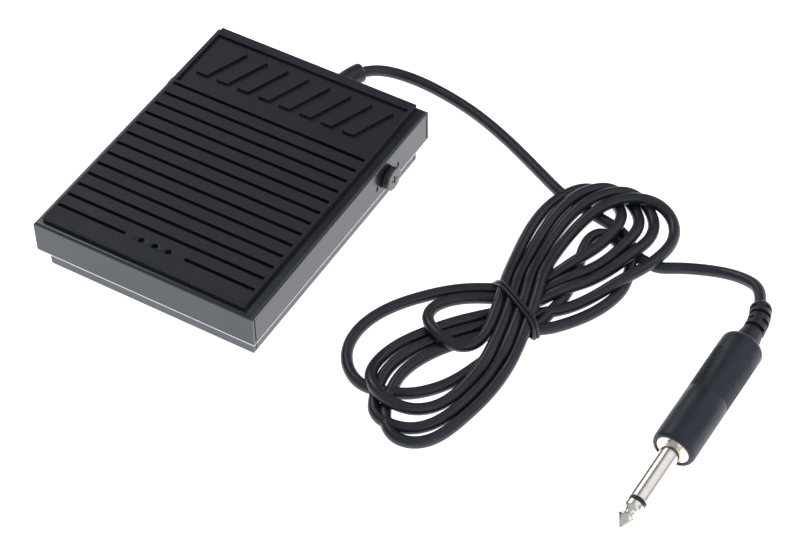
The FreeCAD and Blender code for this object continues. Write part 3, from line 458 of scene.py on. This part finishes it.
def make_boot():
    """Bend relief moulded on the handle: a cone and four slotted rings."""
    stops = [0.0, BOOT_STRAIGHT / 2, BOOT_STRAIGHT - HAIR]
    for ring in range(BOOT_RINGS):
        start = BOOT_STRAIGHT + ring * RING_PITCH
        slot_end = start + BOOT_SLOT
        stops += [start + HAIR, slot_end - HAIR, slot_end + HAIR, start + RING_PITCH - HAIR]
    stops[-1] = BOOT_LONG - BOOT_ROUND
    stops += [BOOT_LONG - BOOT_ROUND * (1 - math.sin(math.pi / 2 * n / 5)) for n in range(1, 6)]
    stations = []
    for along in stops:
        centre, way = boot_line(along)
        stations.append((centre, way, lambda angle, along=along: boot_radius(along, angle)))
    return turned("plug_boot_rings", stations, sides=96)


RELIEF_RADIUS = 3.35 * MM
RELIEF_STRAIGHT = 59.8 * MM
RELIEF_BEND = 23.9 * MM
RELIEF_TURN = math.radians(30)
RELIEF_ROUND = 1.3 * MM
RELIEF_NECK = 2.7 * MM
RELIEF_COLLAR = 3.5 * MM
RELIEF_IN_CORD = 0.12
WALL_SHEET = 1.2 * MM
BEND_STEPS = 14
END_STEPS = 6


def relief_station(angle, radius, height):
    """Centre, direction and radius on the bent part of the strain relief."""
    aside = RELIEF_BEND * (1 - math.cos(angle))
    behind = RELIEF_STRAIGHT + RELIEF_BEND * math.sin(angle)
    return Vector((aside, behind, height)), Vector((math.sin(angle), math.cos(angle), 0)), radius


def make_relief():
    """Rubber sleeve at the tray's rear wall: collar inside, neck in the hole, bent sleeve outside."""
    low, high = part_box("strain_relief")
    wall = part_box("base_tray")[1][1]
    height = (low[2] + high[2]) / 2
    profile = ((low[1], RELIEF_COLLAR), (wall - WALL_SHEET - 0.05 * MM, RELIEF_COLLAR),
               (wall - WALL_SHEET, RELIEF_NECK), (wall + 0.02 * MM, RELIEF_NECK),
               (wall + 0.05 * MM, RELIEF_RADIUS), (RELIEF_STRAIGHT, RELIEF_RADIUS))
    stations = [(Vector((0, at, height)), Vector((0, 1, 0)), radius) for at, radius in profile]
    rounding = RELIEF_ROUND / RELIEF_BEND
    for n in range(1, BEND_STEPS + 1):
        angle = (RELIEF_TURN - rounding) * n / BEND_STEPS
        stations.append(relief_station(angle, RELIEF_RADIUS, height))
    for n in range(1, END_STEPS + 1):
        lean = math.pi / 2 * n / END_STEPS
        radius = RELIEF_RADIUS - RELIEF_ROUND * (1 - math.cos(lean))
        stations.append(relief_station(RELIEF_TURN - rounding * (1 - math.sin(lean)), radius, height))
    return turned("strain_relief_sleeve", stations, sides=64)


CORD_IN_BOOT = 3 * MM


def make_cord(hank):
    """The whole lead, one line from inside the strain relief to inside the boot."""
    inside_relief = relief_station(RELIEF_TURN - RELIEF_IN_CORD, 0, LEAD_ROUTE[0][2] * MM)[0]
    boot_end = boot_line(BOOT_LONG)[0]
    inside_boot = boot_line(BOOT_LONG - CORD_IN_BOOT)[0]
    spots = [tuple(inside_relief)]
    spots += [tuple(Vector(spot) * MM) for spot in (*LEAD_ROUTE, *hank[::2], *TAIL_ROUTE)]
    spots += [tuple(boot_end), tuple(inside_boot)]
    return line_through("pedal_cord", [spots], CORD_RADIUS * MM)


TIE_CENTRE = np.array((95.8, 7.4))
TIE_ACROSS = np.array((0.875, -0.484))
TIE_ALONG = np.array((0.484, 0.875))
TIE_REACH = 16.0
TIE_WIRE = 0.62
TIE_POINTS = 28
TIE_GAP = 0.62
RIM_POINTS = 24
RIM_STRETCH = 1.15
TIE_FLOOR_GAP = 0.05


def hull(spots):
    """Convex outline of points in a plane, in order round it."""
    def turns_inward(part, spot):
        return np.cross(np.subtract(part[-1], part[-2]), np.subtract(spot, part[-1])) <= 0

    spots = sorted(map(tuple, spots))
    outline = []
    for side in (spots, spots[::-1]):
        part = []
        for spot in side:
            while len(part) > 1 and turns_inward(part, spot):
                part.pop()
            part.append(spot)
        outline += part[:-1]
    return np.array(outline)


def tie_outline(hank, shift):
    """A closed line round all the strands that cross the tie's plane, shifted along the hank."""
    rim = []
    reach = CORD_RADIUS + TIE_WIRE
    along = (hank[:, :2] - TIE_CENTRE) @ TIE_ALONG - shift
    across = (hank[:, :2] - TIE_CENTRE) @ TIE_ACROSS
    for n in np.nonzero(along[:-1] * along[1:] <= 0)[0]:
        if abs(across[n]) < TIE_REACH:
            for step in range(RIM_POINTS):
                angle = 2 * math.pi * step / RIM_POINTS
                aside = reach * RIM_STRETCH * math.cos(angle)
                rim.append((across[n] + aside, hank[n, 2] + reach * math.sin(angle)))
    outline = hull(rim)
    closed = np.vstack([outline, outline[:1]])
    lengths = np.concatenate(([0], np.cumsum(np.hypot(*np.diff(closed, axis=0).T))))
    stops = np.linspace(0, lengths[-1], TIE_POINTS, endpoint=False)
    spots = []
    for stop in stops:
        side, height = (np.interp(stop, lengths, closed[:, axis]) for axis in range(2))
        x, y = TIE_CENTRE + TIE_ACROSS * side + TIE_ALONG * shift
        spots.append(tuple(Vector((x, y, max(height, TIE_WIRE + TIE_FLOOR_GAP))) * MM))
    return spots


def make_tie(hank):
    """Two strands of thin wire round the hank's waist."""
    strands = [tie_outline(hank, shift) for shift in (-TIE_GAP, TIE_GAP)]
    return line_through("cord_tie_wires", strands, TIE_WIRE * MM, closed=True)


SPRING_TURNS = 6
SPRING_POINTS = 16
END_TURN = 0.75
SPRING_WIRE = 0.6 * MM


def make_spring():
    """Return spring: a round wire helix whose end turns lie flat."""
    low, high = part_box("return_spring")
    x, y = (low[0] + high[0]) / 2, (low[1] + high[1]) / 2
    radius = (high[1] - low[1]) / 2 - SPRING_WIRE
    count = SPRING_TURNS * SPRING_POINTS
    spots = []
    for n in range(count + 1):
        turn = n / SPRING_POINTS
        angle = 2 * math.pi * turn
        free = min(max((turn - END_TURN / 2) / (SPRING_TURNS - END_TURN), 0), 1)
        rise = low[2] + SPRING_WIRE + (high[2] - low[2] - 2 * SPRING_WIRE) * free
        spots.append((x + radius * math.cos(angle), y + radius * math.sin(angle), rise))
    curve = line_through("return_spring_wire", [spots], SPRING_WIRE)
    mesh = bpy.data.meshes.new_from_object(curve)
    bpy.data.objects.remove(curve)
    return linked(bpy.data.objects.new("return_spring_wire", mesh))


# ---------------------------------------------------------------- materials

def new_node(tree, kind, **settings):
    """A shader node with its settings; a setting that names an input sets that input's value."""
    node = tree.nodes.new("ShaderNode" + kind)
    for key, value in settings.items():
        if hasattr(node, key):
            setattr(node, key, value)
        else:
            node.inputs[key.replace("_", " ")].default_value = value
    return node


def mapped(tree, source, low, high, start=0.3, finish=0.7):
    """A value between 0 and 1 stretched from start..finish to low..high."""
    node = new_node(tree, "MapRange", From_Min=start, From_Max=finish, To_Min=low, To_Max=high)
    tree.links.new(source, node.inputs["Value"])
    return node.outputs["Result"]


def noise(tree, place, scale, detail=4.0, stretch=None):
    """Noise over the object's own coordinates, finer with a larger scale."""
    node = new_node(tree, "TexNoise", Scale=scale, Detail=detail)
    if stretch is not None:
        squeeze = new_node(tree, "Mapping", vector_type="POINT")
        squeeze.inputs["Scale"].default_value = stretch
        tree.links.new(place, squeeze.inputs["Vector"])
        place = squeeze.outputs["Vector"]
    tree.links.new(place, node.inputs["Vector"])
    return node.outputs["Fac"]


def tinted(colour, share):
    """A colour made lighter or darker, with alpha."""
    return (*(min(part * share, 1) for part in colour), 1)


GRAIN_DEEP = 0.2 * MM
# Colour of the painted highlight line along a sheet's lowest edge, and the height over which it fades out.
PAINTED_HIGHLIGHT_COLOUR = (0.75, 0.76, 0.78)
PAINTED_HIGHLIGHT_FADE = 0.15 * MM
WORN_WIDE = 0.3 * MM


def surface(name, colour, rough, metallic=0.0, vary=0.3, patch=70.0, grain=2600.0, bump=0.08,
            stretch=None, uneven=0.08, specular=0.5, tint=(1, 1, 1), worn=None, dust=None, rim=None):
    """A procedural surface: patchy colour, uneven gloss, fine grain, and worn edges and a painted highlight
    line along the lowest edge if asked for.
    """
    material = bpy.data.materials.new(name)
    material.use_nodes = True
    tree = material.node_tree
    shader = tree.nodes["Principled BSDF"]
    shader.inputs["Metallic"].default_value = metallic
    shader.inputs["Specular Tint"].default_value = (*tint, 1)
    shader.inputs["Specular IOR Level"].default_value = specular
    place = new_node(tree, "TexCoord").outputs["Object"]
    patches = noise(tree, place, patch, 6.0, stretch)
    fine = noise(tree, place, grain, 3.0, stretch)
    mixed = new_node(tree, "Mix", data_type="RGBA")
    mixed.inputs["A"].default_value = tinted(colour, 1 - vary)
    mixed.inputs["B"].default_value = tinted(colour, 1 + vary)
    tree.links.new(mapped(tree, patches, 0, 1), mixed.inputs["Factor"])
    shade = mixed.outputs["Result"]
    if dust is not None:
        specks = noise(tree, place, grain * 0.45, 1.0)
        shade = blended(tree, shade, dust, mapped(tree, specks, 0, 0.5, 0.74, 0.8))
    if worn is not None:
        shade = blended(tree, shade, worn, edge_share(tree, patches))
    # The rim argument paints a highlight: a light line along the piece's lowest edge, up to the given
    # height.
    if rim is not None:
        shade = blended(tree, shade, PAINTED_HIGHLIGHT_COLOUR, painted_highlight_share(tree, place, rim))
    tree.links.new(shade, shader.inputs["Base Color"])
    tree.links.new(mapped(tree, patches, rough - uneven, rough + uneven), shader.inputs["Roughness"])
    relief = new_node(tree, "Bump", Strength=bump, Distance=GRAIN_DEEP)
    tree.links.new(fine, relief.inputs["Height"])
    tree.links.new(relief.outputs["Normal"], shader.inputs["Normal"])
    return material


def blended(tree, shade, colour, share):
    """The shade with another colour laid over it by a share."""
    node = new_node(tree, "Mix", data_type="RGBA")
    tree.links.new(share, node.inputs["Factor"])
    tree.links.new(shade, node.inputs["A"])
    node.inputs["B"].default_value = (*colour, 1)
    return node.outputs["Result"]


def painted_highlight_share(tree, place, height):
    """A narrow painted highlight along the lowest edge of folded sheet, up to a height above the floor."""
    split = new_node(tree, "SeparateXYZ")
    tree.links.new(place, split.inputs["Vector"])
    return mapped(tree, split.outputs["Z"], 1, 0, height, height + PAINTED_HIGHLIGHT_FADE)


def edge_share(tree, patches):
    """How worn a spot is: sharp edges, broken up by the patches."""
    bent = new_node(tree, "Bevel", samples=4, Radius=WORN_WIDE)
    flat = new_node(tree, "NewGeometry")
    along = new_node(tree, "VectorMath", operation="DOT_PRODUCT")
    tree.links.new(bent.outputs["Normal"], along.inputs[0])
    tree.links.new(flat.outputs["Normal"], along.inputs[1])
    edge = mapped(tree, along.outputs["Value"], 1, 0, 0.82, 0.985)
    broken = new_node(tree, "Math", operation="MULTIPLY", use_clamp=True)
    tree.links.new(edge, broken.inputs[0])
    tree.links.new(mapped(tree, patches, 0.1, 0.8, 0.4, 0.6), broken.inputs[1])
    return broken.outputs["Value"]


COOL = (0.84, 0.91, 1)
# The cover's lowest edge gets a painted highlight line up to this height.
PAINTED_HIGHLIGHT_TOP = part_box("pedal_cover")[0][2] + 0.3 * MM
FINISHES = {
    # The cover carries a painted highlight line along its lowest edge.
    "cover": surface("cover_paint", (0.015, 0.0165, 0.021), 0.2, vary=0.2, grain=1500, bump=0.03,
                     uneven=0.05, specular=0.65, tint=COOL, worn=(0.12, 0.12, 0.13), rim=PAINTED_HIGHLIGHT_TOP),
    "tray": surface("tray_paint", (0.075, 0.079, 0.088), 0.34, vary=0.15, grain=1500, bump=0.04,
                    tint=COOL, worn=(0.2, 0.2, 0.21)),
    "tread": surface("tread_rubber", (0.0095, 0.0105, 0.0155), 0.5, vary=0.3, grain=3200, bump=0.12,
                     specular=0.4, tint=COOL, dust=(0.06, 0.06, 0.07)),
    "bush": surface("bush_plastic", (0.014, 0.014, 0.015), 0.42, grain=2200, bump=0.05),
    "screw": surface("black_screw", (0.03, 0.03, 0.032), 0.26, patch=900, bump=0.1, specular=0.8,
                     worn=(0.55, 0.54, 0.52)),
    "zinc": surface("zinc_steel", (0.55, 0.56, 0.58), 0.34, metallic=1.0, vary=0.15, patch=400, bump=0.06),
    "sole": surface("sole_rubber", (0.018, 0.018, 0.019), 0.72, grain=2400, bump=0.3, dust=(0.1, 0.1, 0.1)),
    "spring": surface("spring_steel", (0.42, 0.43, 0.45), 0.28, metallic=1.0, patch=500, bump=0.05),
    "stop": surface("stop_rubber", (0.03, 0.03, 0.031), 0.75, grain=2600, bump=0.2),
    "switch": surface("switch_plastic", (0.03, 0.032, 0.04), 0.45, grain=3000, bump=0.1),
    "plunger": surface("plunger_plastic", (0.55, 0.07, 0.05), 0.4, vary=0.1, grain=3000, bump=0.06),
    "brass": surface("terminal_brass", (0.72, 0.52, 0.22), 0.3, metallic=1.0, vary=0.15, patch=600,
                     bump=0.06),
    "cord": surface("cord_rubber", (0.012, 0.0125, 0.0165), 0.36, vary=0.25, patch=160, grain=3000,
                    bump=0.06, tint=COOL, dust=(0.06, 0.06, 0.07)),
    "core": surface("core_plastic", (0.5, 0.5, 0.48), 0.45, vary=0.1, grain=3000, bump=0.05),
    "tie": surface("tie_plastic", (0.012, 0.012, 0.014), 0.35, patch=300, grain=2600, bump=0.06),
    "nickel": surface("plug_nickel", (0.80, 0.755, 0.69), 0.17, metallic=1.0, vary=0.05, patch=140,
                      stretch=(1, 4, 1), bump=0.03, uneven=0.03),
    "insulator": surface("insulator_plastic", (0.012, 0.012, 0.012), 0.35, grain=2600, bump=0.05),
    "handle": surface("handle_plastic", (0.017, 0.019, 0.026), 0.4, vary=0.15, patch=120, grain=3400,
                      bump=0.1, specular=0.4, tint=COOL),
}

NODE_FINISHES = {
    "pedal_cover": "cover", "base_tray": "tray", "tread_pad": "tread", "rubber_sole": "sole",
    "pivot_bush": "bush", "pivot_spacer": "bush", "spring_cup": "bush", "cable_clip": "bush",
    "pivot_screw": "screw", "pivot_nut": "zinc", "spring_stud": "zinc", "switch_striker": "zinc",
    "switch_bracket": "zinc", "bracket_rivets": "zinc", "clip_screw": "zinc", "down_stop": "stop",
    "up_stop": "stop", "switch_body": "switch", "switch_plunger": "plunger",
    "switch_terminals": "brass", "inner_cable": "cord", "core_wires": "core",
}

# Folded sheet has the widest edges, turned and moulded pieces finer ones.
EDGE_WIDTHS = {"pedal_cover": 0.35, "base_tray": 0.3, "tread_pad": 0.28, "rubber_sole": 0.3}
SMALL_EDGE = 0.1
EDGE_ABOVE = math.radians(35)
WELD_WITHIN = 0.002 * MM


def dress_nodes():
    """Give every shown CAD node its finish, and its edges the small rounding that real ones have."""
    for name, node in NODES.items():
        key = next((start for start in NODE_FINISHES if name.startswith(start)), None)
        if key is None:
            continue
        wear(node, FINISHES[NODE_FINISHES[key]])
        node.data.polygons.foreach_set("use_smooth", [True] * len(node.data.polygons))
        weld = node.modifiers.new("joined", "WELD")
        weld.merge_threshold = WELD_WITHIN
        round_off = node.modifiers.new("rounded", "BEVEL")
        round_off.width = EDGE_WIDTHS.get(name, SMALL_EDGE) * MM
        round_off.segments = 2
        round_off.limit_method = "ANGLE"
        round_off.angle_limit = EDGE_ABOVE
        node.modifiers.new("shaded", "WEIGHTED_NORMAL")


def wear(piece, material):
    """Put one material on all of a piece."""
    if not piece.material_slots:
        piece.data.materials.append(material)
    for place in piece.material_slots:
        place.material = material


def add_piece(piece, finish_name, slot, *nodes):
    """A piece that rides on the base in place of CAD nodes."""
    wear(piece, FINISHES[finish_name])
    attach(piece, "base")
    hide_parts(*nodes)
    return piece


# ---------------------------------------------------------------- stage, lights and camera

FLOOR_SIZE = 6
FLOOR_GLOW = 1.15

# The surround is brighter to the right and front, and fades over this range of directions.
SURROUND = (0.2, 0.6)
SURROUND_COLOUR = (0.9, 0.94, 1, 1)
BRIGHT_SIDE = (1.0, -0.6, 0.0)
FADE = (-0.7, -0.25)
WARM = (1, 0.97, 0.93)


def make_floor():
    """A plain white floor that is lit from below, like a photographer's light table."""
    mesh = bmesh.new()
    bmesh.ops.create_grid(mesh, x_segments=8, y_segments=8, size=FLOOR_SIZE)
    floor = smooth_shaded("pale_floor", mesh)
    paper = surface("floor_paper", (0.8, 0.8, 0.8), 0.9, vary=0.01, patch=3, grain=400, bump=0.01,
                    specular=0.1)
    shader = paper.node_tree.nodes["Principled BSDF"]
    shader.inputs["Emission Color"].default_value = (1, 1, 1, 1)
    shader.inputs["Emission Strength"].default_value = FLOOR_GLOW
    wear(floor, paper)


def add_light(name, spot, target, size, power, colour=(1, 1, 1)):
    """A soft square light aimed at a point."""
    data = bpy.data.lights.new(name, "AREA")
    data.shape = "SQUARE"
    data.size = size
    data.energy = power
    data.color = colour
    light = linked(bpy.data.objects.new(name, data))
    light.location = spot
    light.rotation_mode = "QUATERNION"
    light.rotation_quaternion = (Vector(target) - Vector(spot)).to_track_quat("-Z", "Y")


LIGHT_TARGET = (0.05, 0, 0)
PLUG_SPOT = (0.167, -0.03, 0.005)


def make_lights():
    """A bright tent: soft lights above and behind, a pale surround."""
    add_light("key_light", (-1.0, 0.5, 1.0), LIGHT_TARGET, 0.8, 5)
    add_light("rear_light", (0.75, 0.75, 1.0), PLUG_SPOT, 1.2, 2.2, WARM)
    add_light("side_light", (1.1, -0.5, 0.7), LIGHT_TARGET, 0.9, 2)
    world = bpy.data.worlds.new("surround")
    world.use_nodes = True
    tree = world.node_tree
    shade = tree.nodes["Background"]
    shade.inputs["Color"].default_value = SURROUND_COLOUR
    way = new_node(tree, "TexCoord").outputs["Generated"]
    side = new_node(tree, "VectorMath", operation="DOT_PRODUCT")
    side.inputs[1].default_value = BRIGHT_SIDE
    tree.links.new(way, side.inputs[0])
    tree.links.new(mapped(tree, side.outputs["Value"], *SURROUND, *FADE), shade.inputs["Strength"])
    bpy.context.scene.world = world
    bpy.context.scene.view_settings.view_transform = "Standard"


CAMERA_AROUND = math.radians(31.966)
CAMERA_ABOVE = math.radians(47.242)
CAMERA_ROLL = math.radians(-1.505)
CAMERA_AIM = Vector((58.97, 2.63, 0)) * MM
CAMERA_AWAY = 815.57 * MM
CAMERA_LENS = 116.73
SENSOR_WIDTH = 36


def make_camera():
    """The viewing angle: from the front right, well above."""
    data = bpy.data.cameras.new("view_camera")
    data.lens = CAMERA_LENS
    data.sensor_width = SENSOR_WIDTH
    camera = linked(bpy.data.objects.new("view_camera", data))
    level = math.cos(CAMERA_ABOVE)
    back = Vector((math.sin(CAMERA_AROUND) * level, -math.cos(CAMERA_AROUND) * level,
                   math.sin(CAMERA_ABOVE)))
    right = Vector((math.cos(CAMERA_AROUND), math.sin(CAMERA_AROUND), 0))
    up = back.cross(right)
    turned_right = right * math.cos(CAMERA_ROLL) + up * math.sin(CAMERA_ROLL)
    turned_up = up * math.cos(CAMERA_ROLL) - right * math.sin(CAMERA_ROLL)
    turn = Matrix((turned_right, turned_up, back)).transposed().to_4x4()
    camera.matrix_world = Matrix.Translation(CAMERA_AIM + back * CAMERA_AWAY) @ turn
    bpy.context.scene.camera = camera


# ---------------------------------------------------------------- everything together

make_camera()
make_floor()
make_lights()
dress_nodes()

hank = wound_hank()
cord = add_piece(make_cord(hank), "cord", "cord_rubber", "cord_lead", "cord_coil", "cord_tail")
tie = add_piece(make_tie(hank), "tie", "tie_plastic", "cord_tie")
relief = add_piece(make_relief(), "cord", "cord_rubber", "strain_relief")
handle = add_piece(make_handle(), "handle", "handle_plastic", "plug_handle")
boot = add_piece(make_boot(), "handle", "handle_plastic", "plug_boot")
spring = add_piece(make_spring(), "spring", "spring_steel", "return_spring")
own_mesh(spring)

tip, band, sleeve, flange = make_contacts()
contacts = [
    add_piece(tip, "nickel", "plug_nickel", "plug_tip"),
    add_piece(band, "insulator", "insulator_plastic", "plug_insulator"),
    add_piece(sleeve, "nickel", "plug_nickel", "plug_sleeve"),
    add_piece(flange, "nickel", "plug_nickel", "plug_collar"),
]
